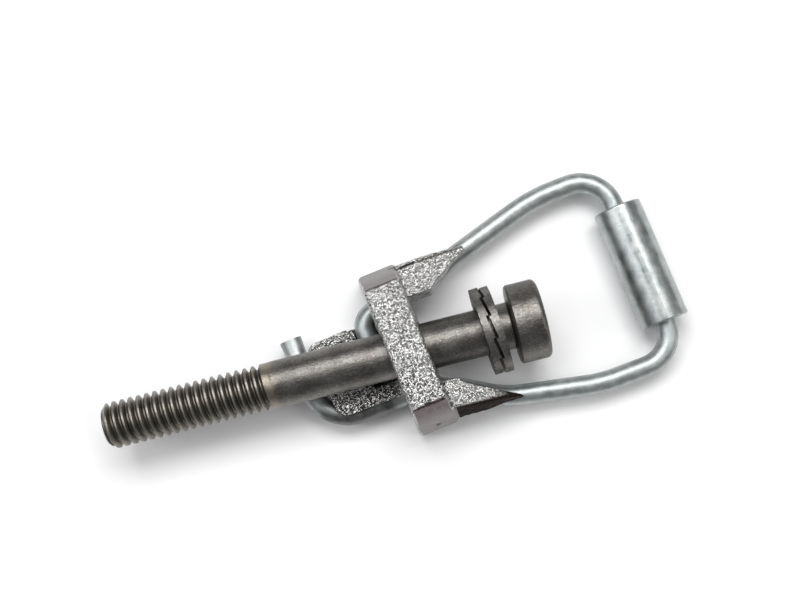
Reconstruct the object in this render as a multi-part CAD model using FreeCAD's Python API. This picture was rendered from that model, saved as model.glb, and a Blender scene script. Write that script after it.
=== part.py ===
"""Screw-drawn bail clamp: a cast yoke, a captive cap screw with a pair of
wedge-locking washers, an open spring-wire bail and the roller on its cross bar.

Units are millimetres. The clamp lies flat, as it rests on a bench:
  Z = 0  is the bench, under the middle of the yoke's plate
  +X     runs square out of the plate, towards the screw's head and the roller
  +Z     is up, away from the bench
"""
import FreeCAD, Part
import math
import os

# ---------------------------------------------------------------- driving sizes

INCH = 25.4

# screw: 5/16 inch, 18 threads per inch, 2 3/4 inch under a low head
SCREW_DIA = 5 / 16 * INCH
SCREW_LENGTH = 2.75 * INCH
THREAD_PITCH = INCH / 18
THREAD_LENGTH = 1.125 * INCH
THREAD_DEPTH = 0.6134 * THREAD_PITCH
THREAD_CREST_RELIEF = 0.06
THREAD_HALF_ANGLE = 30.0
HEAD_DIA = 13.4
HEAD_HEIGHT = 5.3
HEAD_EDGE_RADIUS = 0.9
HEAD_UNDER_BEVEL = 0.3
NECK_BEVEL = 0.4
SHOULDER_BEVEL = 0.5
TIP_CHAMFER = 0.9
HEX_ACROSS_FLATS = 3 / 16 * INCH
HEX_DEPTH = 3.0
HEX_DRILL_POINT = 0.8

# how the loose screw sits in the yoke
AXIS_HEIGHT = 10.5
AXIS_OFFSET_Y = -0.7
SCREW_YAW = -8.0
UNDER_HEAD = 17.9

# wedge-locking washers
WASHER_OD = 14.8
WASHER_ID = 8.7
WASHER_BASE = 1.1
CAM_HEIGHT = 0.35
CAM_COUNT = 12
SERRATION_COUNT = 40
SERRATION_DEPTH = 0.16
SERRATION_WIDTH = 0.44
WASHER_YAW = -4.0
LOWER_WASHER_AT = 12.7
UPPER_WASHER_AT = 15.8

# bail wire: corners of its centreline and the bend radius at each inner corner
WIRE_DIA = 3.5
WIRE_HEIGHT = 4.15
HOOK_X = -5.6
HOOK_END_Y = -3.2
HOOK_LEG_Y = 8.3
TAIL_X = -18.15
TAIL_END_Y = 9.1
TAIL_LEG_Y = -7.0
TAIL_BEND = 7.0
HOOK_BEND = 2.85
LOOP_CORNERS = [
    (2.0, TAIL_LEG_Y),
    (12.6, -13.75),
    (28.5, -17.75),
    (42.75, -18.1),
    (42.05, 15.85),
    (29.8, 16.07),
    (13.0, 11.84),
    (3.5, HOOK_LEG_Y),
]
LOOP_BENDS = [6.0, 18.0, 25.0, 6.0, 6.0, 30.0, 20.0, 8.0]

# roller on the bail's cross bar
ROLLER_OD = 8.3
ROLLER_ID = 4.5
ROLLER_LENGTH = 21.2
ROLLER_X = 42.52
ROLLER_Y = -1.5
ROLLER_RIM_RADIUS = 0.3

# yoke casting
PLATE_CREST_THICKNESS = 6.2
PLATE_FOOT_THICKNESS = 7.2
PLATE_HALF_FOOT = 14.6
PLATE_HALF_CREST = 10.5
PLATE_SHOULDER_HEIGHT = 5.0
PLATE_HEIGHT = 17.5
PLATE_EDGE_RADIUS = 0.7
HOLE_DIA = 10.5
TONGUE_END_X = -15.0
TONGUE_HALF_WIDTH = 7.05
TONGUE_EDGE_HEIGHT = 7.2
TONGUE_MIDDLE_HEIGHT = 6.15
TONGUE_SLANT = 0.9
TONGUE_RIGHT_CORNER = 2.3
TONGUE_LEFT_CORNER = 1.3
TONGUE_SIDE_DRAFT = 0.3
WASHER_SEAT_RADIUS = 7.6
WASHER_SEAT_END = 8.5

# wings: outlines at the underside and at the top, from the plate out along the inner
# edge to the tip and back along the outer edge
WING_UNDERSIDE = 7.1
WING_TOP = 12.0
WING_TOP_SLOPE = 11.0
LEFT_WING_FOOT = [
    (2.0, 6.6), (5.0, 6.5), (6.3, 6.05), (7.7, 7.25), (8.9, 8.35),
    (11.0, 9.35), (12.2, 10.3), (15.4, 11.8),
    (15.3, 12.4), (12.3, 12.75), (8.1, 12.95), (2.0, 12.5),
]
LEFT_WING_CREST = [
    (2.0, 7.0), (5.0, 7.0), (6.2, 6.6), (7.5, 7.7), (8.8, 8.8),
    (10.8, 9.8), (12.0, 10.7), (15.0, 11.9),
    (14.9, 12.2), (12.3, 12.5), (8.1, 12.7), (2.0, 12.2),
]
LEFT_LEDGE = [
    (2.0, 11.0), (12.0, 11.5), (15.1, 12.3),
    (15.1, 12.6), (12.5, 13.05), (9.5, 13.4), (7.1, 13.6), (2.0, 13.75),
]
LEFT_LEDGE_TOP = 8.3
RIGHT_WING_FOOT = [
    (2.0, -7.6), (4.0, -7.6), (5.3, -7.45), (6.2, -7.8), (6.7, -8.6),
    (8.1, -9.7), (10.9, -11.7), (15.2, -14.6),
    (15.25, -15.0), (12.7, -14.75), (8.7, -14.7), (2.0, -13.9),
]
RIGHT_WING_CREST = [
    (2.0, -7.7), (4.0, -7.7), (5.2, -7.7), (6.0, -8.0), (6.5, -8.9),
    (8.0, -10.0), (10.8, -11.9), (14.2, -13.9),
    (14.2, -14.1), (11.2, -13.2), (6.8, -12.7), (2.0, -11.8),
]
CREASE_Y = 12.9
CREASE_DEPTH = 0.7
CREASE_HALF_WIDTH = 0.35

# clearances inside the casting
CHANNEL_CLEARANCE = 0.5
HOOK_CLEARANCE = 0.3
HOOK_SLOT_END_GAP = 1.0
HOOK_MOUTH_FLARE = 1.8
HOOK_MOUTH_FLARE_LENGTH = 3.0

# ---------------------------------------------------------------- shared helpers

ORIGIN = FreeCAD.Vector(0, 0, 0)
X_AXIS = FreeCAD.Vector(1, 0, 0)
Y_AXIS = FreeCAD.Vector(0, 1, 0)
Z_AXIS = FreeCAD.Vector(0, 0, 1)
SCREW_CENTRE = FreeCAD.Vector(0, AXIS_OFFSET_Y, AXIS_HEIGHT)
WIRE_RADIUS = WIRE_DIA / 2


def vec(x, y, z=0.0):
    return FreeCAD.Vector(x, y, z)


def prism(outline, bottom, top):
    """Upright solid over a closed XY outline of (x, y) corners."""
    corners = [vec(x, y, bottom) for x, y in outline]
    face = Part.Face(Part.makePolygon(corners + corners[:1]))
    return face.extrude(vec(0, 0, top - bottom))


def edges_along(shape, direction):
    """The straight edges of a shape that run along a direction."""
    found = []
    for edge in shape.Edges:
        if edge.Curve.TypeId != "Part::GeomLine":
            continue
        run = edge.Vertexes[1].Point.sub(edge.Vertexes[0].Point).normalize()
        if abs(abs(run.dot(direction)) - 1) < 1e-6:
            found.append(edge)
    return found


def filleted_path(corners, radii):
    """Straight runs through the corners, joined by tangent arcs of the given radii."""
    pieces = []
    start = corners[0]
    for before, corner, after, radius in zip(corners, corners[1:], corners[2:], radii):
        back = before.sub(corner).normalize()
        onward = after.sub(corner).normalize()
        half_angle = back.getAngle(onward) / 2
        reach = radius / math.tan(half_angle)
        bisector = back.add(onward).normalize()
        entry = corner.add(back * reach)
        middle = corner.add(bisector * (radius / math.sin(half_angle) - radius))
        leave = corner.add(onward * reach)
        pieces.append(Part.LineSegment(start, entry).toShape())
        pieces.append(Part.Arc(entry, middle, leave).toShape())
        start = leave
    pieces.append(Part.LineSegment(start, corners[-1]).toShape())
    return Part.Wire(pieces)


def tube_along(path, radius):
    """Round bar of a radius along a path."""
    first = path.Edges[0]
    start = first.valueAt(first.FirstParameter)
    heading = first.tangentAt(first.FirstParameter)
    section = Part.Wire([Part.makeCircle(radius, start, heading)])
    return path.makePipeShell([section], True, False)


# ---------------------------------------------------------------- screw


def screw_point(distance):
    """Point on the screw's axis, measured from the middle of the yoke's hole."""
    angle = math.radians(SCREW_YAW)
    return SCREW_CENTRE.add(vec(math.cos(angle), math.sin(angle)) * distance)


def on_screw_axis(shape, distance, yaw):
    """Set a shape modelled along +X at a distance along the screw's axis."""
    placed = shape.copy()
    placed.rotate(ORIGIN, Z_AXIS, yaw)
    placed.translate(screw_point(distance))
    return placed


def thread_groove():
    """Helical groove of the thread, from past the tip up to the plain shank."""
    past_crest = 0.2
    root_radius = SCREW_DIA / 2 - THREAD_DEPTH
    outer_radius = SCREW_DIA / 2 + past_crest
    flank_run = (outer_radius - root_radius) * math.tan(math.radians(THREAD_HALF_ANGLE))
    root_half_width = THREAD_PITCH / 16
    outer_half_width = root_half_width + flank_run
    no_taper = 0.0
    helix = Part.makeLongHelix(THREAD_PITCH, THREAD_LENGTH + THREAD_PITCH, root_radius, no_taper)
    section = Part.makePolygon([
        vec(root_radius, 0, -root_half_width),
        vec(outer_radius, 0, -outer_half_width),
        vec(outer_radius, 0, outer_half_width),
        vec(root_radius, 0, root_half_width),
        vec(root_radius, 0, -root_half_width),
    ])
    groove = Part.Wire(helix.Edges).makePipeShell([section], True, True)
    groove.rotate(ORIGIN, Y_AXIS, 90)
    return groove


def captive_screw():
    """Low-head socket cap screw, under-head face at x = 0 and tip at x = -length."""
    shank_radius = SCREW_DIA / 2
    thread_radius = shank_radius - THREAD_CREST_RELIEF
    head_radius = HEAD_DIA / 2
    thread_start = THREAD_LENGTH - SCREW_LENGTH
    profile = Part.makePolygon([
        vec(-SCREW_LENGTH, 0),
        vec(-SCREW_LENGTH, thread_radius - TIP_CHAMFER),
        vec(TIP_CHAMFER - SCREW_LENGTH, thread_radius),
        vec(thread_start, thread_radius),
        vec(thread_start + SHOULDER_BEVEL, shank_radius),
        vec(-NECK_BEVEL, shank_radius),
        vec(0, shank_radius + NECK_BEVEL),
        vec(0, head_radius - HEAD_UNDER_BEVEL),
        vec(HEAD_UNDER_BEVEL, head_radius),
        vec(HEAD_HEIGHT, head_radius),
        vec(HEAD_HEIGHT, 0),
        vec(-SCREW_LENGTH, 0),
    ])
    blank = Part.Face(profile).revolve(ORIGIN, X_AXIS, 360)
    rim = [edge for edge in blank.Edges
           if edge.Curve.TypeId == "Part::GeomCircle"
           and abs(edge.Curve.Center.x - HEAD_HEIGHT) < 1e-6]
    blank = blank.makeFillet(HEAD_EDGE_RADIUS, rim)
    lead_in = THREAD_PITCH * 1.3
    groove = thread_groove()
    groove.translate(vec(-SCREW_LENGTH - lead_in, 0, 0))
    return blank.cut(groove).cut(hex_socket())


def hex_socket():
    """Hexagon recess in the head's end, with the drill point at its bottom."""
    corner_radius = HEX_ACROSS_FLATS / math.sqrt(3)
    angles = [math.radians(60 * step) for step in range(6)]
    corners = [vec(0, corner_radius * math.cos(a), corner_radius * math.sin(a)) for a in angles]
    bottom = HEAD_HEIGHT - HEX_DEPTH
    past_end = 1.0
    hexagon = Part.Face(Part.makePolygon(corners + corners[:1]))
    hexagon.translate(vec(bottom, 0, 0))
    drill_radius = HEX_ACROSS_FLATS / 2
    drill_tip = vec(bottom - HEX_DRILL_POINT, 0, 0)
    point = Part.makeCone(0, drill_radius, HEX_DRILL_POINT, drill_tip, X_AXIS)
    return hexagon.extrude(vec(HEX_DEPTH + past_end, 0, 0)).fuse(point)


# ---------------------------------------------------------------- wedge-locking washers


def cam(index):
    """One wedge-shaped cam: a sector whose top rises steadily round the washer."""
    overhang = 0.5
    sunk = -0.3
    inner = WASHER_ID / 2 - overhang
    outer = WASHER_OD / 2 + overhang
    mean = (WASHER_ID + WASHER_OD) / 4
    half_sector = math.pi / CAM_COUNT
    slope = CAM_HEIGHT / 2 / (mean * math.sin(half_sector))
    turn = 360 / CAM_COUNT * index
    rim = []
    for radius, angle in ((inner, -half_sector), (outer, -half_sector),
                          (outer, half_sector), (inner, half_sector)):
        rim.append((radius * math.cos(angle), radius * math.sin(angle)))
    top = [vec(CAM_HEIGHT / 2 + slope * z, y, z) for y, z in rim]
    base = [vec(sunk, y, z) for y, z in rim]
    faces = [Part.Face(Part.makePolygon(base + base[:1])), Part.Face(Part.makePolygon(top + top[:1]))]
    for this, following in ((0, 1), (1, 2), (2, 3), (3, 0)):
        wall = [base[this], base[following], top[following], top[this], base[this]]
        faces.append(Part.Face(Part.makePolygon(wall)))
    solid = Part.Solid(Part.Shell(faces))
    solid.rotate(ORIGIN, X_AXIS, turn)
    return solid


def serrations():
    """The fine radial notches that bite into whatever the washer bears on."""
    half_width = SERRATION_WIDTH / 2
    proud = -0.01
    notches = []
    for index in range(SERRATION_COUNT):
        triangle = [vec(proud, -half_width, 0), vec(SERRATION_DEPTH, 0, 0), vec(proud, half_width, 0)]
        notch = Part.Face(Part.makePolygon(triangle + triangle[:1])).extrude(vec(0, 0, WASHER_OD))
        notch.rotate(ORIGIN, X_AXIS, 360 / SERRATION_COUNT * (index + 0.5))
        notches.append(notch)
    return notches


def wedge_washer():
    """Washer with serrations on its x = 0 face and cams rising towards +X."""
    outer = Part.makeCylinder(WASHER_OD / 2, 2 * WASHER_BASE, ORIGIN, X_AXIS)
    bore = Part.makeCylinder(WASHER_ID / 2, 4 * WASHER_BASE, vec(-WASHER_BASE, 0, 0), X_AXIS)
    envelope = outer.cut(bore)
    disc = Part.makeCylinder(WASHER_OD / 2, WASHER_BASE, ORIGIN, X_AXIS)
    cams = []
    for index in range(CAM_COUNT):
        solid = cam(index)
        solid.translate(vec(WASHER_BASE, 0, 0))
        cams.append(solid)
    ring = disc.cut(bore).multiFuse(cams).common(envelope)
    return ring.cut(serrations()).removeSplitter()


def washer_pair():
    """The two washers, cams facing each other, standing apart on the loose screw."""
    lower = on_screw_axis(wedge_washer(), LOWER_WASHER_AT, WASHER_YAW)
    facing_back = wedge_washer()
    facing_back.rotate(ORIGIN, Z_AXIS, 180)
    upper = on_screw_axis(facing_back, UPPER_WASHER_AT, WASHER_YAW)
    return lower, upper


# ---------------------------------------------------------------- bail and roller


def at_wire_height(plan):
    return [vec(x, y, WIRE_HEIGHT) for x, y in plan]


def bail_path():
    """Centreline of the bail, from the tail round to the hooked end."""
    tail = [(TAIL_X, TAIL_END_Y), (TAIL_X, TAIL_LEG_Y)]
    hook = [(HOOK_X, HOOK_LEG_Y), (HOOK_X, HOOK_END_Y)]
    corners = at_wire_height(tail + LOOP_CORNERS + hook)
    return filleted_path(corners, [TAIL_BEND] + LOOP_BENDS + [HOOK_BEND])


def wire_bail():
    """Spring wire bent to an open loop in one plane."""
    return tube_along(bail_path(), WIRE_RADIUS)


def bail_roller():
    """Tube that turns on the bail's cross bar, with its rims slightly rounded."""
    start = vec(ROLLER_X, ROLLER_Y - ROLLER_LENGTH / 2, WIRE_HEIGHT)
    body = Part.makeCylinder(ROLLER_OD / 2, ROLLER_LENGTH, start, Y_AXIS)
    rims = [edge for edge in body.Edges if edge.Curve.TypeId == "Part::GeomCircle"]
    body = body.makeFillet(ROLLER_RIM_RADIUS, rims)
    bore = Part.makeCylinder(ROLLER_ID / 2, ROLLER_LENGTH + 2, start.sub(Y_AXIS), Y_AXIS)
    return body.cut(bore)


# ---------------------------------------------------------------- yoke casting


def plate():
    """Upright plate that the screw pulls on, thinner and narrower towards its crest."""
    foot_draft = 0.15
    levels = [
        (0, PLATE_FOOT_THICKNESS / 2, PLATE_HALF_FOOT),
        (PLATE_SHOULDER_HEIGHT, PLATE_FOOT_THICKNESS / 2 - foot_draft, PLATE_HALF_FOOT),
        (PLATE_HEIGHT, PLATE_CREST_THICKNESS / 2, PLATE_HALF_CREST),
    ]
    sections = []
    for z, half_x, half_y in levels:
        corners = [vec(-half_x, -half_y, z), vec(half_x, -half_y, z),
                   vec(half_x, half_y, z), vec(-half_x, half_y, z)]
        sections.append(Part.makePolygon(corners + corners[:1]))
    solid = Part.makeLoft(sections, True, True)
    return solid.makeFillet(PLATE_EDGE_RADIUS, solid.Edges)


def tongue():
    """Flat tongue that both ends of the bail hook round, hollowed under the screw."""
    inside_plate = -2.0
    end_half_width = TONGUE_HALF_WIDTH - TONGUE_SIDE_DRAFT
    left_end_x = TONGUE_END_X - TONGUE_SLANT
    outline = [
        (TONGUE_END_X, -end_half_width),
        (inside_plate, -TONGUE_HALF_WIDTH),
        (inside_plate, TONGUE_HALF_WIDTH),
        (left_end_x, end_half_width),
    ]
    solid = prism(outline, 0, TONGUE_EDGE_HEIGHT)
    for radius, side in ((TONGUE_RIGHT_CORNER, -1), (TONGUE_LEFT_CORNER, 1)):
        end_corner = [
            edge for edge in edges_along(solid, Z_AXIS)
            if edge.CenterOfMass.x < TONGUE_END_X / 2 and edge.CenterOfMass.y * side > end_half_width / 2
        ]
        solid = solid.makeFillet(radius, end_corner[:1])
    rise = TONGUE_EDGE_HEIGHT - TONGUE_MIDDLE_HEIGHT
    cradle_radius = (TONGUE_HALF_WIDTH ** 2 + rise ** 2) / (2 * rise)
    start = vec(2 * TONGUE_END_X, 0, TONGUE_MIDDLE_HEIGHT + cradle_radius)
    return solid.cut(Part.makeCylinder(cradle_radius, -2 * TONGUE_END_X, start, X_AXIS))


def wing(foot, crest):
    """Horn that runs out over one leg of the bail, with sloping sides and top."""
    sections = []
    for outline, z in ((foot, WING_UNDERSIDE), (crest, WING_TOP)):
        corners = [vec(x, y, z) for x, y in outline]
        sections.append(Part.makePolygon(corners + corners[:1]))
    horn = Part.makeLoft(sections, True, True)
    past_wings = 3 * PLATE_HALF_FOOT
    slope = Part.makeBox(past_wings, 2 * past_wings, WING_TOP, vec(0, -past_wings, 0))
    slope.rotate(ORIGIN, Y_AXIS, WING_TOP_SLOPE)
    slope.translate(vec(0, 0, WING_TOP))
    return horn.cut(slope)


def left_ledge():
    """Low rim along the left wing's outer side, with the crease between them."""
    ledge = prism(LEFT_LEDGE, WING_UNDERSIDE, LEFT_LEDGE_TOP)
    crease_outline = [
        vec(0, -CREASE_HALF_WIDTH, LEFT_LEDGE_TOP),
        vec(0, CREASE_HALF_WIDTH, LEFT_LEDGE_TOP),
        vec(0, 0, LEFT_LEDGE_TOP - CREASE_DEPTH),
    ]
    past_tip = 2 * PLATE_HALF_FOOT
    crease = Part.Face(Part.makePolygon(crease_outline + crease_outline[:1])).extrude(vec(past_tip, 0, 0))
    crease.translate(vec(0, CREASE_Y, 0))
    return ledge.cut(crease)


def leg_channel(plan, bends):
    """Groove, open to the bench, that clears one leg of the bail."""
    radius = WIRE_RADIUS + CHANNEL_CLEARANCE
    path = filleted_path(at_wire_height(plan), bends)
    start = path.Edges[0].valueAt(path.Edges[0].FirstParameter)
    heading = path.Edges[0].tangentAt(path.Edges[0].FirstParameter)
    across = vec(-heading.y, heading.x) * radius
    left = start.add(across)
    right = start.sub(across)
    below_bench = vec(0, 0, -2 * WIRE_HEIGHT)
    roof = Part.Arc(right, start.add(vec(0, 0, radius)), left).toShape()
    sides = Part.makePolygon([left, left.add(below_bench), right.add(below_bench), right])
    section = Part.Wire([roof] + sides.Edges)
    return path.makePipeShell([section], True, False)


def bail_channels():
    """The grooves under the casting for the bail's two legs."""
    tail = [(TAIL_X, TAIL_END_Y), (TAIL_X, TAIL_LEG_Y)]
    inside_slot = (HOOK_X + WIRE_RADIUS, HOOK_LEG_Y)
    tail_leg = leg_channel(tail + LOOP_CORNERS[:3], [TAIL_BEND] + LOOP_BENDS[:2])
    hook_leg = leg_channel([inside_slot] + LOOP_CORNERS[:-4:-1], LOOP_BENDS[:-3:-1])
    return [tail_leg, hook_leg]


def hook_clearance():
    """Swept clearance round the bail's tight bend at the hooked end."""
    plan = [LOOP_CORNERS[-1], (HOOK_X, HOOK_LEG_Y), (HOOK_X, HOOK_END_Y)]
    return tube_along(filleted_path(at_wire_height(plan), [HOOK_BEND]), WIRE_RADIUS + HOOK_CLEARANCE)


def hook_slot():
    """Slot across the tongue's root, open upwards, that the hooked end drops into."""
    half_width = WIRE_RADIUS + HOOK_CLEARANCE
    blind_y = HOOK_END_Y - HOOK_SLOT_END_GAP
    past_tongue = TONGUE_HALF_WIDTH + HOOK_MOUTH_FLARE_LENGTH
    past_plate = PLATE_HALF_FOOT + 1
    left = HOOK_X - half_width
    right = HOOK_X + half_width
    floor_start = vec(HOOK_X, blind_y, WIRE_HEIGHT)
    floor = Part.makeCylinder(half_width, past_plate - blind_y, floor_start, Y_AXIS)
    mouth_outline = [
        (left, blind_y),
        (right, blind_y),
        (right, past_plate),
        (left - HOOK_MOUTH_FLARE, past_plate),
        (left - HOOK_MOUTH_FLARE, past_tongue),
        (left, TONGUE_HALF_WIDTH - HOOK_MOUTH_FLARE_LENGTH),
    ]
    return floor.fuse(prism(mouth_outline, WIRE_HEIGHT, TONGUE_EDGE_HEIGHT + 1))


def yoke_casting():
    """The casting in one piece: plate, tongue and two wings, bored for the screw."""
    left = wing(LEFT_WING_FOOT, LEFT_WING_CREST).fuse(left_ledge())
    right = wing(RIGHT_WING_FOOT, RIGHT_WING_CREST)
    washer_seat = Part.makeCylinder(WASHER_SEAT_RADIUS, WASHER_SEAT_END, vec(0, 0, AXIS_HEIGHT), X_AXIS)
    body = plate().fuse([tongue(), left.cut(washer_seat), right.cut(washer_seat)])
    hole_start = vec(-PLATE_FOOT_THICKNESS, 0, AXIS_HEIGHT)
    hole = Part.makeCylinder(HOLE_DIA / 2, 2 * PLATE_FOOT_THICKNESS, hole_start, X_AXIS)
    body = body.cut([hole, hook_slot(), hook_clearance()] + bail_channels())
    return body.removeSplitter()


# ---------------------------------------------------------------- output


def main():
    lower_washer, upper_washer = washer_pair()
    nodes = {
        "yoke_casting": yoke_casting(),
        "captive_screw": on_screw_axis(captive_screw(), UNDER_HEAD, SCREW_YAW),
        "wedge_washer_lower": lower_washer,
        "wedge_washer_upper": upper_washer,
        "wire_bail": wire_bail(),
        "bail_roller": bail_roller(),
    }
    os.makedirs("parts", exist_ok=True)
    for name, shape in nodes.items():
        shape.exportStep(f"parts/{name}.step")
        size = shape.BoundBox
        print(f"{name}: {len(shape.Solids)} solid, valid {shape.isValid()}, "
              f"{shape.Volume:.1f} mm3, x {size.XMin:.2f}..{size.XMax:.2f}, "
              f"y {size.YMin:.2f}..{size.YMax:.2f}, z {size.ZMin:.2f}..{size.ZMax:.2f}")


main()
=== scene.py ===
import math

import bmesh
import bpy
from mathutils import Matrix, Vector, noise


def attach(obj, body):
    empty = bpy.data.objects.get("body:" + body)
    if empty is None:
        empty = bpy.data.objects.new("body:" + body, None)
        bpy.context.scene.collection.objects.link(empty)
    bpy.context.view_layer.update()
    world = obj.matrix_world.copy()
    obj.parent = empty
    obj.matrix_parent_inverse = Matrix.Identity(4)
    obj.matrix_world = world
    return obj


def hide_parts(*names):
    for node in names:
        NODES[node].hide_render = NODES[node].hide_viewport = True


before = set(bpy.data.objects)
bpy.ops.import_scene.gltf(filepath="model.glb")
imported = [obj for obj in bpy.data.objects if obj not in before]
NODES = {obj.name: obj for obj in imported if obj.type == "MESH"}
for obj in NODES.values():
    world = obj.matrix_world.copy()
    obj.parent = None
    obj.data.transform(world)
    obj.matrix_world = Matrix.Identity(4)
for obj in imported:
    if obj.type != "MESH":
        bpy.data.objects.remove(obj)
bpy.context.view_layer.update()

MM = 0.001

# ---- places and shapes on the clamp, their lengths in millimetres in the CAD frame
SCREW_YAW = math.radians(-8.0)
SCREW_OFFSET_Y = -0.7
SCREW_HEIGHT = 10.5
THREAD_START = -23.4
THREAD_ROOT_RADIUS = 3.15
THREAD_FLANK_RADIUS = 3.75
HOLE_RADIUS = 5.25
PLATE_FRONT_X = 3.65
FACET_NORMAL = Vector((0, 0.9502, 0.3117))
FACET_DISTANCE = 15.43
CASTING_PIT = (0.1, -13.8, 7.4)
PIT_RADIUS = 0.6
PIT_DEPTH = 0.35
WIRE_HEIGHT = 4.15
TAIL_X = -18.15
TAIL_END_Y = 9.1
TAIL_REACH = 2.5
SHEAR_CUTS_Y = [4.5, 6.0, 7.5, 8.5]
SHEAR_WIDENING = 0.10
SHEAR_FLATTENING = 0.08
# lines seen from above, each as its Y at X = 0 and its slope
RIGHT_WING_CREST = (-11.5, -0.13)
LEFT_WING_CREASE = (12.98, -0.035)
# spans over which the darker dimples, painted shade and stains grow from nothing to full
DIMPLE_DARK_SPAN_Y = (8.0, -10.0)
SHADED_TIP_SPAN_X = (10.0, 13.0)
STAIN_SPAN_Z = (9.5, 14.5)
TONGUE_SHADE_SPAN_Y = (-2.0, -5.0)
WIRE_SHADE_SPAN_X = (-4.0, -6.0)
WIRE_SHADE_SPAN_Y = (-3.0, -6.0)
RIGHT_SIDE_SPAN_Y = (0.0, -1.0)

# ---- the casting's dense skin, in millimetres
SKIN_VOXEL = 0.17
COARSE_GRAIN = 1.1
MIDDLE_GRAIN = 0.55
COARSE_GRAIN_HEIGHT = 0.06
MIDDLE_GRAIN_HEIGHT = 0.09
GRAIN_SEED = Vector((3.1, 7.7, 1.9))

# ---- noise patterns: size in millimetres, detail, roughness and squeeze along X, Y and Z
EVEN = (1.0, 1.0, 1.0)
CAST_BLOTCHES = (2.6, 2.0, 0.5, EVEN)
CAST_SPARKLE = (0.34, 2.0, 0.6, EVEN)
GROUND_STREAKS = (0.22, 2.0, 0.6, (0.22, 1.0, 1.0))
STEEL_CLOUDS = (3.2, 3.0, 0.6, EVEN)
STEEL_SPECKS = (0.28, 3.0, 0.7, EVEN)
STEEL_STREAKS = (0.34, 3.0, 0.7, (0.4, 1.0, 1.0))
STEEL_LINES = (0.13, 2.0, 0.6, (0.10, 1.0, 1.0))
STEEL_RINGS = (0.25, 2.0, 0.6, (1.0, 0.12, 0.12))
ZINC_CLOUDS = (1.9, 3.0, 0.6, EVEN)
ZINC_PATCHES = (0.75, 2.0, 0.55, EVEN)
ZINC_SPECKS = (0.26, 2.0, 0.6, EVEN)
WIRE_DRAW_LINES = (0.16, 2.0, 0.6, (0.07, 1.0, 1.0))
ROLLER_DRAW_LINES = (0.16, 2.0, 0.6, (1.0, 0.07, 1.0))

# ---- depth of each metal's fine relief, in millimetres
CAST_RELIEF = 0.34
STEEL_RELIEF = 0.036
ZINC_RELIEF = 0.008

# ---- roughness where the right wing's shade is painted, and how dull the zinc on each piece is
SHADED_WING_ROUGHNESS = 0.8
WIRE_DULLNESS = 0.38
ROLLER_DULLNESS = 0.25

# ---- camera
CAMERA_LENS = 58.05
CAMERA_TILT = math.radians(6.0)
CAMERA_ROLL = math.radians(22.1)
CAMERA_TARGET = Vector((1.588, 7.394, 5.0)) * MM
CAMERA_DISTANCE = 221.34 * MM

# ---- colours, as linear values
ROOM_GREY = (0.25, 0.25, 0.255, 1)
FLOOR_NEAR = (0.95, 0.95, 0.95)
FLOOR_FAR = (0.72, 0.72, 0.72)
CAST_DARK = (0.13, 0.127, 0.12)
CAST_BRIGHT = (0.61, 0.61, 0.595)
CAST_BLOTCH = (0.30, 0.30, 0.29)
# darker in the grain's dimples, more so towards the right
CAST_DIMPLE_DARK = (0.02, 0.018, 0.016)
CREASE_SHADE = (0.06, 0.05, 0.045)
# painted shade on the right wing's outer flank and tip
RIGHT_WING_SHADE = (0.022, 0.014, 0.011)
# painted shade on the tongue's right side, under the screw
TONGUE_SHADE = (0.035, 0.03, 0.027)
GROUND_DARK = (0.17, 0.155, 0.15)
GROUND_BRIGHT = (0.27, 0.255, 0.25)
GROUND_STAIN = (0.06, 0.032, 0.031)
STEEL_DARK = (0.120, 0.112, 0.103)
STEEL_BRIGHT = (0.20, 0.193, 0.18)
STEEL_SPECK_DARK = (0.07, 0.06, 0.055)
STEEL_SPECK_BRIGHT = (0.38, 0.36, 0.34)
STEEL_STREAK_DARK = (0.06, 0.053, 0.05)
THREAD_METAL = (0.33, 0.31, 0.265)
THREAD_GRIME = (0.085, 0.072, 0.056)
THREAD_RUNOUT = (0.27, 0.24, 0.195)
ZINC_DARK = (0.33, 0.36, 0.365)
ZINC_BRIGHT = (0.50, 0.525, 0.515)
ZINC_GREEN = (0.36, 0.39, 0.34)
ZINC_SPECK_DARK = (0.17, 0.18, 0.185)
# painted shade on the wire beside the tongue
WIRE_SHADE = (0.075, 0.072, 0.066)


# ------------------------------------------------------------------ stage, light and camera

def camera():
    """Camera above the clamp, tilted a little and rolled."""
    data = bpy.data.cameras.new("camera")
    data.sensor_width = 36.0
    data.lens = CAMERA_LENS
    data.clip_start = 0.01
    data.clip_end = 10.0
    cam = bpy.data.objects.new("camera", data)
    bpy.context.scene.collection.objects.link(cam)
    back = Vector((0, -math.sin(CAMERA_TILT), math.cos(CAMERA_TILT)))
    level = Vector((1, 0, 0))
    upright = back.cross(level)
    right = level * math.cos(CAMERA_ROLL) - upright * math.sin(CAMERA_ROLL)
    up = level * math.sin(CAMERA_ROLL) + upright * math.cos(CAMERA_ROLL)
    place = CAMERA_TARGET + back * CAMERA_DISTANCE
    cam.matrix_world = Matrix((
        (right.x, up.x, back.x, place.x),
        (right.y, up.y, back.y, place.y),
        (right.z, up.z, back.z, place.z),
        (0, 0, 0, 1),
    ))
    bpy.context.scene.camera = cam


def area_light(name, place, size, power, color):
    """Rectangular lamp that faces the clamp."""
    data = bpy.data.lights.new(name, "AREA")
    data.shape = "RECTANGLE"
    data.size, data.size_y = size
    data.energy = power
    data.color = color
    lamp = bpy.data.objects.new(name, data)
    bpy.context.scene.collection.objects.link(lamp)
    lamp.location = place
    lamp.rotation_mode = "QUATERNION"
    lamp.rotation_quaternion = Vector(place).to_track_quat("Z", "Y")


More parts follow.
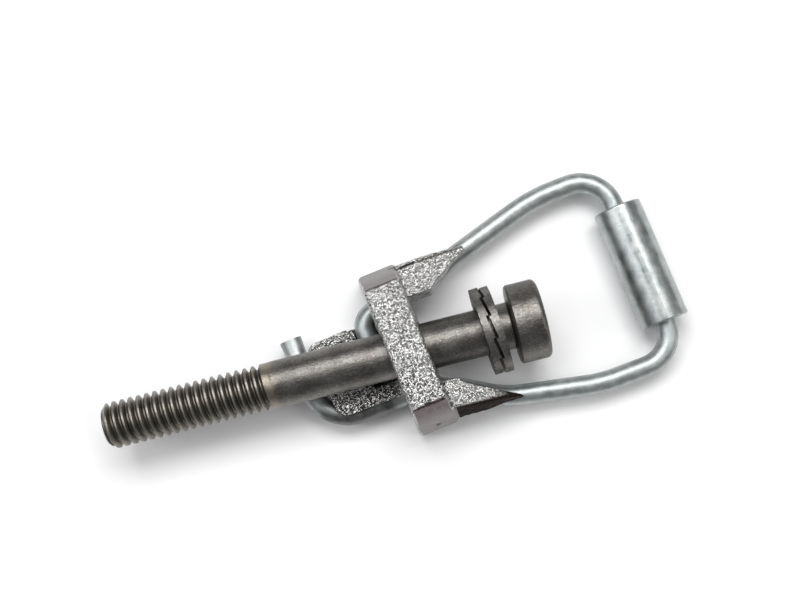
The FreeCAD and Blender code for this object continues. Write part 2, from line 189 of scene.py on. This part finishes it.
def lights():
    """Grey room, a large window lamp and a weaker lamp on each side."""
    world = bpy.data.worlds.new("room")
    bpy.context.scene.world = world
    world.use_nodes = True
    background = world.node_tree.nodes["Background"]
    background.inputs["Color"].default_value = ROOM_GREY
    background.inputs["Strength"].default_value = 1.0
    area_light("window", place=(0.095, 0.235, 0.544), size=(0.50, 0.24),
               power=2.8, color=(1, 1, 1))
    area_light("right_lamp", place=(0.39, -0.16, 0.42), size=(0.20, 0.50),
               power=0.75, color=(1.0, 0.99, 0.97))
    area_light("left_lamp", place=(-0.35, 0.14, 0.47), size=(0.18, 0.50),
               power=0.9, color=(0.97, 0.98, 1.0))


def floor():
    """Pale floor that turns a little darker away from the clamp."""
    half = 3.0
    fade_span = (0.11, 0.35)
    mesh = bpy.data.meshes.new("floor")
    corners = [(-half, -half, 0), (half, -half, 0), (half, half, 0), (-half, half, 0)]
    mesh.from_pydata(corners, [], [(0, 1, 2, 3)])
    obj = bpy.data.objects.new("floor", mesh)
    bpy.context.scene.collection.objects.link(obj)
    g = Graph("floor")
    x, y, _ = g.axes(g.place)
    color = g.over(FLOOR_NEAR, FLOOR_FAR, g.length(x, y), span=fade_span)
    g.feed(g.shader.inputs["Base Color"], color)
    g.shader.inputs["Metallic"].default_value = 0.0
    g.shader.inputs["Roughness"].default_value = 0.9
    g.shader.inputs["Specular IOR Level"].default_value = 0.1
    mesh.materials.append(g.material)


# ------------------------------------------------------------------ material helpers

class Graph:
    """A material's node tree, metal at first, with short ways to add the nodes used here."""

    def __init__(self, name):
        self.material = bpy.data.materials.new(name)
        self.material.use_nodes = True
        self.tree = self.material.node_tree
        self.shader = self.tree.nodes["Principled BSDF"]
        self.shader.inputs["Metallic"].default_value = 1.0
        self.place = self.node("ShaderNodeTexCoord").outputs["Object"]

    def node(self, kind, **settings):
        made = self.tree.nodes.new(kind)
        for key, value in settings.items():
            setattr(made, key, value)
        return made

    def feed(self, socket, value):
        """Link a socket to another one, or set it to a constant."""
        if isinstance(value, bpy.types.NodeSocket):
            self.tree.links.new(value, socket)
        else:
            socket.default_value = value

    def math(self, operation, first, second=0.0, third=0.0):
        made = self.node("ShaderNodeMath", operation=operation)
        for socket, value in zip(made.inputs, (first, second, third)):
            self.feed(socket, value)
        return made.outputs[0]

    def times(self, first, *others):
        for other in others:
            first = self.math("MULTIPLY", first, other)
        return first

    def scaled(self, value, factor, offset):
        """value * factor + offset"""
        return self.math("MULTIPLY_ADD", value, factor, offset)

    def length(self, first, second):
        return self.math("SQRT", self.scaled(first, first, self.times(second, second)))

    def between(self, amount, first, second):
        """Number that goes from first to second as amount goes from 0 to 1."""
        return self.scaled(self.math("SUBTRACT", second, first), amount, first)

    def axes(self, vector):
        made = self.node("ShaderNodeSeparateXYZ")
        self.feed(made.inputs[0], vector)
        return made.outputs[0], made.outputs[1], made.outputs[2]

    def moved(self, offset_mm, turn_z):
        """The object's own place, measured from a turned and shifted frame."""
        shift = self.node("ShaderNodeVectorMath", operation="SUBTRACT")
        self.feed(shift.inputs[0], self.place)
        shift.inputs[1].default_value = [v * MM for v in offset_mm]
        turn = self.node("ShaderNodeVectorRotate", rotation_type="Z_AXIS")
        self.feed(turn.inputs["Vector"], shift.outputs[0])
        turn.inputs["Angle"].default_value = turn_z
        return turn.outputs[0]

    def squeezed(self, place, factors):
        scale = self.node("ShaderNodeVectorMath", operation="MULTIPLY")
        self.feed(scale.inputs[0], place)
        scale.inputs[1].default_value = factors
        return scale.outputs[0]

    def beside_line(self, x, y, line):
        """Distance in Y from a line given by its Y at X = 0 and its slope."""
        start, slope = line
        return self.scaled(x, -slope, self.math("SUBTRACT", y, start * MM))

    def noise(self, pattern, place=None):
        """One of the noise patterns, at the object's own place unless another is given."""
        size_mm, detail, rough, squeeze = pattern
        place = place or self.place
        if squeeze != EVEN:
            place = self.squeezed(place, squeeze)
        made = self.node("ShaderNodeTexNoise")
        self.feed(made.inputs["Vector"], place)
        made.inputs["Scale"].default_value = 1 / (size_mm * MM)
        made.inputs["Detail"].default_value = detail
        made.inputs["Roughness"].default_value = rough
        return made.outputs["Fac"]

    def ramp(self, value, span, to=(0.0, 1.0)):
        """Value mapped from one span to another and clamped."""
        made = self.node("ShaderNodeMapRange")
        self.feed(made.inputs["Value"], value)
        made.inputs["From Min"].default_value = span[0]
        made.inputs["From Max"].default_value = span[1]
        made.inputs["To Min"].default_value = to[0]
        made.inputs["To Max"].default_value = to[1]
        return made.outputs["Result"]

    def ramp_mm(self, value, span, to=(0.0, 1.0)):
        """The same for a length, with its span in millimetres."""
        return self.ramp(value, [limit * MM for limit in span], to)

    def over(self, color, tint, value, span, share=1.0):
        """Color with a tint laid over it, none at the span's start and its share at the end."""
        return self.mix(self.ramp(value, span, to=(0.0, share)), color, tint)

    def mix(self, amount, first, second):
        made = self.node("ShaderNodeMixRGB", blend_type="MIX")
        self.feed(made.inputs["Fac"], amount)
        self.feed(made.inputs["Color1"], self.rgba(first))
        self.feed(made.inputs["Color2"], self.rgba(second))
        return made.outputs["Color"]

    @staticmethod
    def rgba(color):
        return (*color, 1) if isinstance(color, tuple) else color

    def bump(self, height, depth_mm):
        made = self.node("ShaderNodeBump")
        made.inputs["Strength"].default_value = 1.0
        made.inputs["Distance"].default_value = depth_mm * MM
        self.feed(made.inputs["Height"], height)
        return made.outputs["Normal"]

    def finish(self, color, roughness, normal):
        self.feed(self.shader.inputs["Base Color"], color)
        self.feed(self.shader.inputs["Roughness"], roughness)
        self.feed(self.shader.inputs["Normal"], normal)
        return self.material


# ------------------------------------------------------------------ the casting's metal

def ground_share(g, x, y, z, blotches):
    """1 on the plate's two ground ends, with an uneven border, and 0 elsewhere."""
    depth = g.times(g.math("ABSOLUTE", y), FACET_NORMAL.y)
    depth = g.scaled(z, FACET_NORMAL.z, depth)
    depth = g.scaled(g.math("SUBTRACT", blotches, 0.5), 0.7 * MM, depth)
    on_facet = g.ramp_mm(depth, span=(FACET_DISTANCE - 0.28, FACET_DISTANCE - 0.14))
    in_plate = g.ramp_mm(x, span=(PLATE_FRONT_X, PLATE_FRONT_X + 0.2), to=(1.0, 0.0))
    return g.times(on_facet, in_plate)


def right_wing_shade_share(g, x, y, on_wing):
    """1 on the right wing's outer flank and tip, where shade is painted dark."""
    flank = g.ramp_mm(g.beside_line(x, y, RIGHT_WING_CREST), span=(0.0, -0.5))
    tip = g.times(g.ramp_mm(x, SHADED_TIP_SPAN_X), g.ramp_mm(y, RIGHT_SIDE_SPAN_Y))
    return g.times(g.math("MAXIMUM", flank, tip), on_wing)


def cast_color(g, x, y, grain, blotches, on_wing, right_wing_shade):
    """Bright grain, darker in its dimples and more so towards the right, with painted shade on the
    wings and the tongue.
    """
    color = g.over(CAST_DARK, CAST_BRIGHT, grain, span=(0.34, 0.55))
    # darker in the grain's dimples, more so towards the right and less on the wings
    in_dimple = g.ramp(grain, span=(0.49, 0.37))
    dimple_dark = g.times(in_dimple, g.ramp_mm(y, DIMPLE_DARK_SPAN_Y, to=(0.08, 1.1)))
    dimple_dark_share = g.between(on_wing, 0.9, 0.25)
    color = g.mix(g.times(dimple_dark, dimple_dark_share), color, CAST_DIMPLE_DARK)
    color = g.over(color, CAST_BLOTCH, blotches, span=(0.46, 0.72), share=0.3)
    # painted shade on the right wing's outer flank and tip
    color = g.over(color, RIGHT_WING_SHADE, right_wing_shade, span=(0.0, 1.0), share=0.985)
    from_crease = g.math("ABSOLUTE", g.beside_line(x, y, LEFT_WING_CREASE))
    crease = g.times(g.ramp_mm(from_crease, span=(0.42, 0.12)), on_wing)
    color = g.over(color, CREASE_SHADE, crease, span=(0.0, 1.0), share=0.85)
    # painted shade on the tongue's right side, under the screw, leaving the bright grain bright
    on_tongue = g.ramp_mm(x, span=(-PLATE_FRONT_X, -PLATE_FRONT_X - 0.4))
    tongue_shade = g.times(on_tongue, g.ramp_mm(y, TONGUE_SHADE_SPAN_Y), g.ramp(grain, span=(0.62, 0.46)))
    return g.over(color, TONGUE_SHADE, tongue_shade, span=(0.0, 1.0), share=0.9)


def ground_color(g, y, z, grain, streaks):
    """Machined streaks, with a brown stain near the top."""
    color = g.over(GROUND_DARK, GROUND_BRIGHT, streaks, span=(0.35, 0.68))
    near_top = g.ramp_mm(z, STAIN_SPAN_Z)
    more_on_right = g.ramp_mm(y, RIGHT_SIDE_SPAN_Y, to=(0.6, 1.0))
    uneven = g.ramp(grain, span=(0.42, 0.62), to=(1.0, 0.5))
    return g.mix(g.times(near_top, more_on_right, uneven), color, GROUND_STAIN)


def cast_metal():
    """Plated sand casting: sparkling grain, smooth ground ends, painted shade on the right wing,
    in the left wing's crease and on the tongue, darker dimples, and stains.
    """
    g = Graph("cast_metal")
    x, y, z = g.axes(g.place)
    blotches = g.noise(CAST_BLOTCHES)
    grain = g.noise(CAST_SPARKLE)
    streaks = g.noise(GROUND_STREAKS)
    on_wing = g.ramp_mm(x, span=(PLATE_FRONT_X, PLATE_FRONT_X + 0.3))
    ground = ground_share(g, x, y, z, blotches)
    right_wing_shade = right_wing_shade_share(g, x, y, on_wing)

    cast = cast_color(g, x, y, grain, blotches, on_wing, right_wing_shade)
    color = g.mix(ground, cast, ground_color(g, y, z, grain, streaks))
    rough_cast = g.ramp(grain, span=(0.38, 0.58), to=(0.30, 0.15))
    # the right wing's painted shade is also made rougher
    rough_cast = g.between(g.times(right_wing_shade, 0.9), rough_cast, SHADED_WING_ROUGHNESS)
    rough_ground = g.ramp(streaks, span=(0.3, 0.7), to=(0.34, 0.46))
    roughness = g.between(ground, rough_cast, rough_ground)
    relief = g.times(grain, g.between(ground, 1.0, 0.07))
    return g.finish(color, roughness, g.bump(relief, CAST_RELIEF))


# ------------------------------------------------------------------ the other metals

def thread_color(g, x, y, z, color, clouds):
    """Lighter flanks, grime in the roots and a pale ring where the thread ends."""
    in_root = g.ramp_mm(g.length(y, z), span=(THREAD_FLANK_RADIUS, THREAD_ROOT_RADIUS))
    threaded = g.ramp_mm(x, span=(THREAD_START + 0.4, THREAD_START))
    color = g.over(color, THREAD_METAL, threaded, span=(0.0, 1.0), share=0.6)
    color = g.over(color, THREAD_GRIME, g.times(in_root, threaded), span=(0.0, 1.0), share=0.6)
    from_end = g.math("ABSOLUTE", g.math("SUBTRACT", x, THREAD_START * MM))
    uneven = g.ramp(clouds, span=(0.3, 0.6), to=(0.4, 0.9))
    ring = g.times(g.ramp_mm(from_end, span=(1.3, 0.5)), uneven)
    return g.mix(ring, color, THREAD_RUNOUT)


def worn_stainless(name, with_thread):
    """Dull brownish stainless steel with fine scratches, laid out along the screw."""
    g = Graph(name)
    local = g.moved((0, SCREW_OFFSET_Y, SCREW_HEIGHT), -SCREW_YAW)
    x, y, z = g.axes(local)
    clouds = g.noise(STEEL_CLOUDS)
    specks = g.noise(STEEL_SPECKS)
    streaks = g.noise(STEEL_STREAKS, local)
    lines = g.noise(STEEL_LINES, local)
    rings = g.noise(STEEL_RINGS, local)

    color = g.over(STEEL_DARK, STEEL_BRIGHT, clouds, span=(0.35, 0.68))
    color = g.over(color, STEEL_SPECK_DARK, specks, span=(0.54, 0.68), share=0.8)
    color = g.over(color, STEEL_SPECK_BRIGHT, specks, span=(0.42, 0.32), share=0.6)
    if with_thread:
        color = thread_color(g, x, y, z, color, clouds)
    color = g.over(color, STEEL_STREAK_DARK, streaks, span=(0.54, 0.66), share=0.45)
    scratches = g.scaled(rings, 0.5, lines)
    scratched = g.ramp(scratches, span=(0.5, 1.0), to=(0.24, 0.38))
    clouded = g.ramp(clouds, span=(0.3, 0.7), to=(0.0, 0.10))
    roughness = g.math("ADD", scratched, clouded)
    relief = g.scaled(specks, 0.6, scratches)
    return g.finish(color, roughness, g.bump(relief, STEEL_RELIEF))


def wire_shade(g, color, clouds):
    """Painted shade on the wire beside the tongue's right side."""
    x, y, _ = g.axes(g.place)
    beside_tongue = g.times(g.ramp_mm(x, WIRE_SHADE_SPAN_X), g.ramp_mm(y, WIRE_SHADE_SPAN_Y))
    uneven = g.ramp(clouds, span=(0.3, 0.6), to=(0.95, 0.7))
    return g.mix(g.times(beside_tongue, uneven), color, WIRE_SHADE)


def bright_zinc(name, draw_lines, dullness, shaded_by_tongue):
    """Bright zinc plate over drawn steel, mottled grey-green, with draw lines."""
    g = Graph(name)
    clouds = g.noise(ZINC_CLOUDS)
    patches = g.noise(ZINC_PATCHES)
    specks = g.noise(ZINC_SPECKS)
    lines = g.noise(draw_lines)

    color = g.over(ZINC_DARK, ZINC_BRIGHT, clouds, span=(0.35, 0.68))
    color = g.over(color, ZINC_GREEN, patches, span=(0.52, 0.72), share=0.5)
    color = g.over(color, ZINC_SPECK_DARK, specks, span=(0.60, 0.74), share=0.6)
    # painted shade on the wire beside the tongue
    if shaded_by_tongue:
        color = wire_shade(g, color, clouds)
    lined = g.ramp(lines, span=(0.35, 0.65), to=(dullness, dullness + 0.08))
    clouded = g.ramp(clouds, span=(0.3, 0.7), to=(0.0, 0.09))
    roughness = g.math("ADD", lined, clouded)
    relief = g.scaled(patches, 0.3, lines)
    return g.finish(color, roughness, g.bump(relief, ZINC_RELIEF))


# ------------------------------------------------------------------ the casting's rough skin

def smooth_step(value, start, end):
    t = min(max((value - start) / (end - start), 0.0), 1.0)
    return t * t * (3 - 2 * t)


def cast_grain(place):
    """Height of the sand-cast grain at a place, both in millimetres."""
    coarse = noise.noise(place / COARSE_GRAIN + GRAIN_SEED)
    middle = noise.noise(place / MIDDLE_GRAIN + GRAIN_SEED * 2)
    return COARSE_GRAIN_HEIGHT * coarse + MIDDLE_GRAIN_HEIGHT * middle


def cast_share(place, normal):
    """Share of the grain at a place: none on ground ends, hole and foot, little on edges."""
    facet = FACET_NORMAL.y * abs(place.y) + FACET_NORMAL.z * place.z
    on_ground_end = 0.0
    if place.x <= PLATE_FRONT_X:
        on_ground_end = smooth_step(facet, FACET_DISTANCE - 0.5, FACET_DISTANCE - 0.2)
    in_hole = 0.0
    if abs(place.x) < PLATE_FRONT_X:
        from_hole = math.hypot(place.y, place.z - SCREW_HEIGHT) - HOLE_RADIUS
        in_hole = 1 - smooth_step(from_hole, 0.05, 0.4)
    on_foot = 1 - smooth_step(place.z, 0.1, 0.5)
    flatness = max(abs(part) for part in normal)
    on_edge = 0.8 * (1 - smooth_step(flatness, 0.75, 0.93))
    return 1 - max(on_ground_end, in_hole, on_foot, on_edge)


def skin_height(place, normal):
    """How far the skin stands out from the CAD casting, in millimetres."""
    height = cast_share(place, normal) * cast_grain(place)
    from_pit = math.dist(place, CASTING_PIT)
    if from_pit < PIT_RADIUS:
        height -= PIT_DEPTH * (1 - smooth_step(from_pit, PIT_RADIUS / 4, PIT_RADIUS))
    return height


def copy_of(node_name, copy_name):
    """Copy of a CAD piece, at the same place."""
    node = NODES[node_name]
    made = bpy.data.objects.new(copy_name, node.data.copy())
    bpy.context.scene.collection.objects.link(made)
    made.matrix_world = node.matrix_world.copy()
    return made


def dress(piece, material):
    piece.data.materials.clear()
    piece.data.materials.append(material)


def casting_skin():
    """Copy of the CAD casting with a dense skin that carries its cast grain."""
    skin = copy_of("yoke_casting", "yoke_casting_skin")
    remesh = skin.modifiers.new("dense", "REMESH")
    remesh.mode = "VOXEL"
    remesh.voxel_size = SKIN_VOXEL * MM
    evaluated = skin.evaluated_get(bpy.context.evaluated_depsgraph_get())
    dense = bpy.data.meshes.new_from_object(evaluated)
    skin.modifiers.clear()
    skin.data = dense

    to_cad = skin.matrix_world
    edit = bmesh.new()
    edit.from_mesh(dense)
    moves = []
    for vertex in edit.verts:
        place = (to_cad @ vertex.co) / MM
        height = skin_height(place, to_cad.to_3x3() @ vertex.normal)
        moves.append(vertex.normal * height * MM)
    for vertex, move in zip(edit.verts, moves):
        vertex.co += move
    edit.to_mesh(dense)
    edit.free()
    dense.polygons.foreach_set("use_smooth", [True] * len(dense.polygons))
    dress(skin, cast_metal())
    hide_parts("yoke_casting")
    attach(skin, "yoke")


def sheared_wire():
    """Copy of the bail whose tail end is squashed a little where it was sheared off."""
    wire = copy_of("wire_bail", "wire_bail_sheared")
    to_cad = wire.matrix_world
    from_cad = to_cad.inverted()
    cut_normal = to_cad.to_3x3().inverted() @ Vector((0, 1, 0))
    edit = bmesh.new()
    edit.from_mesh(wire.data)
    for cut_y in SHEAR_CUTS_Y:
        cut = from_cad @ (Vector((TAIL_X, cut_y, WIRE_HEIGHT)) * MM)
        bmesh.ops.bisect_plane(edit, geom=edit.verts[:] + edit.edges[:] + edit.faces[:],
                               plane_co=cut, plane_no=cut_normal)
    for vertex in edit.verts:
        place = (to_cad @ vertex.co) / MM
        if abs(place.x - TAIL_X) > TAIL_REACH or place.y < SHEAR_CUTS_Y[0]:
            continue
        squash = smooth_step(place.y, SHEAR_CUTS_Y[0], TAIL_END_Y)
        place.x = TAIL_X + (place.x - TAIL_X) * (1 + SHEAR_WIDENING * squash)
        place.z = WIRE_HEIGHT + (place.z - WIRE_HEIGHT) * (1 - SHEAR_FLATTENING * squash)
        vertex.co = from_cad @ (place * MM)
    edit.to_mesh(wire.data)
    edit.free()
    dress(wire, bright_zinc("wire_zinc", WIRE_DRAW_LINES, WIRE_DULLNESS, shaded_by_tongue=True))
    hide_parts("wire_bail")
    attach(wire, "bail")


# ------------------------------------------------------------------ build

camera()
lights()
floor()
casting_skin()
sheared_wire()
dress(NODES["captive_screw"], worn_stainless("screw_stainless", with_thread=True))
washer_metal = worn_stainless("washer_stainless", with_thread=False)
dress(NODES["wedge_washer_lower"], washer_metal)
dress(NODES["wedge_washer_upper"], washer_metal)
roller_metal = bright_zinc("roller_zinc", ROLLER_DRAW_LINES, ROLLER_DULLNESS, shaded_by_tongue=False)
dress(NODES["bail_roller"], roller_metal)
bpy.context.scene.view_settings.view_transform = "Standard"
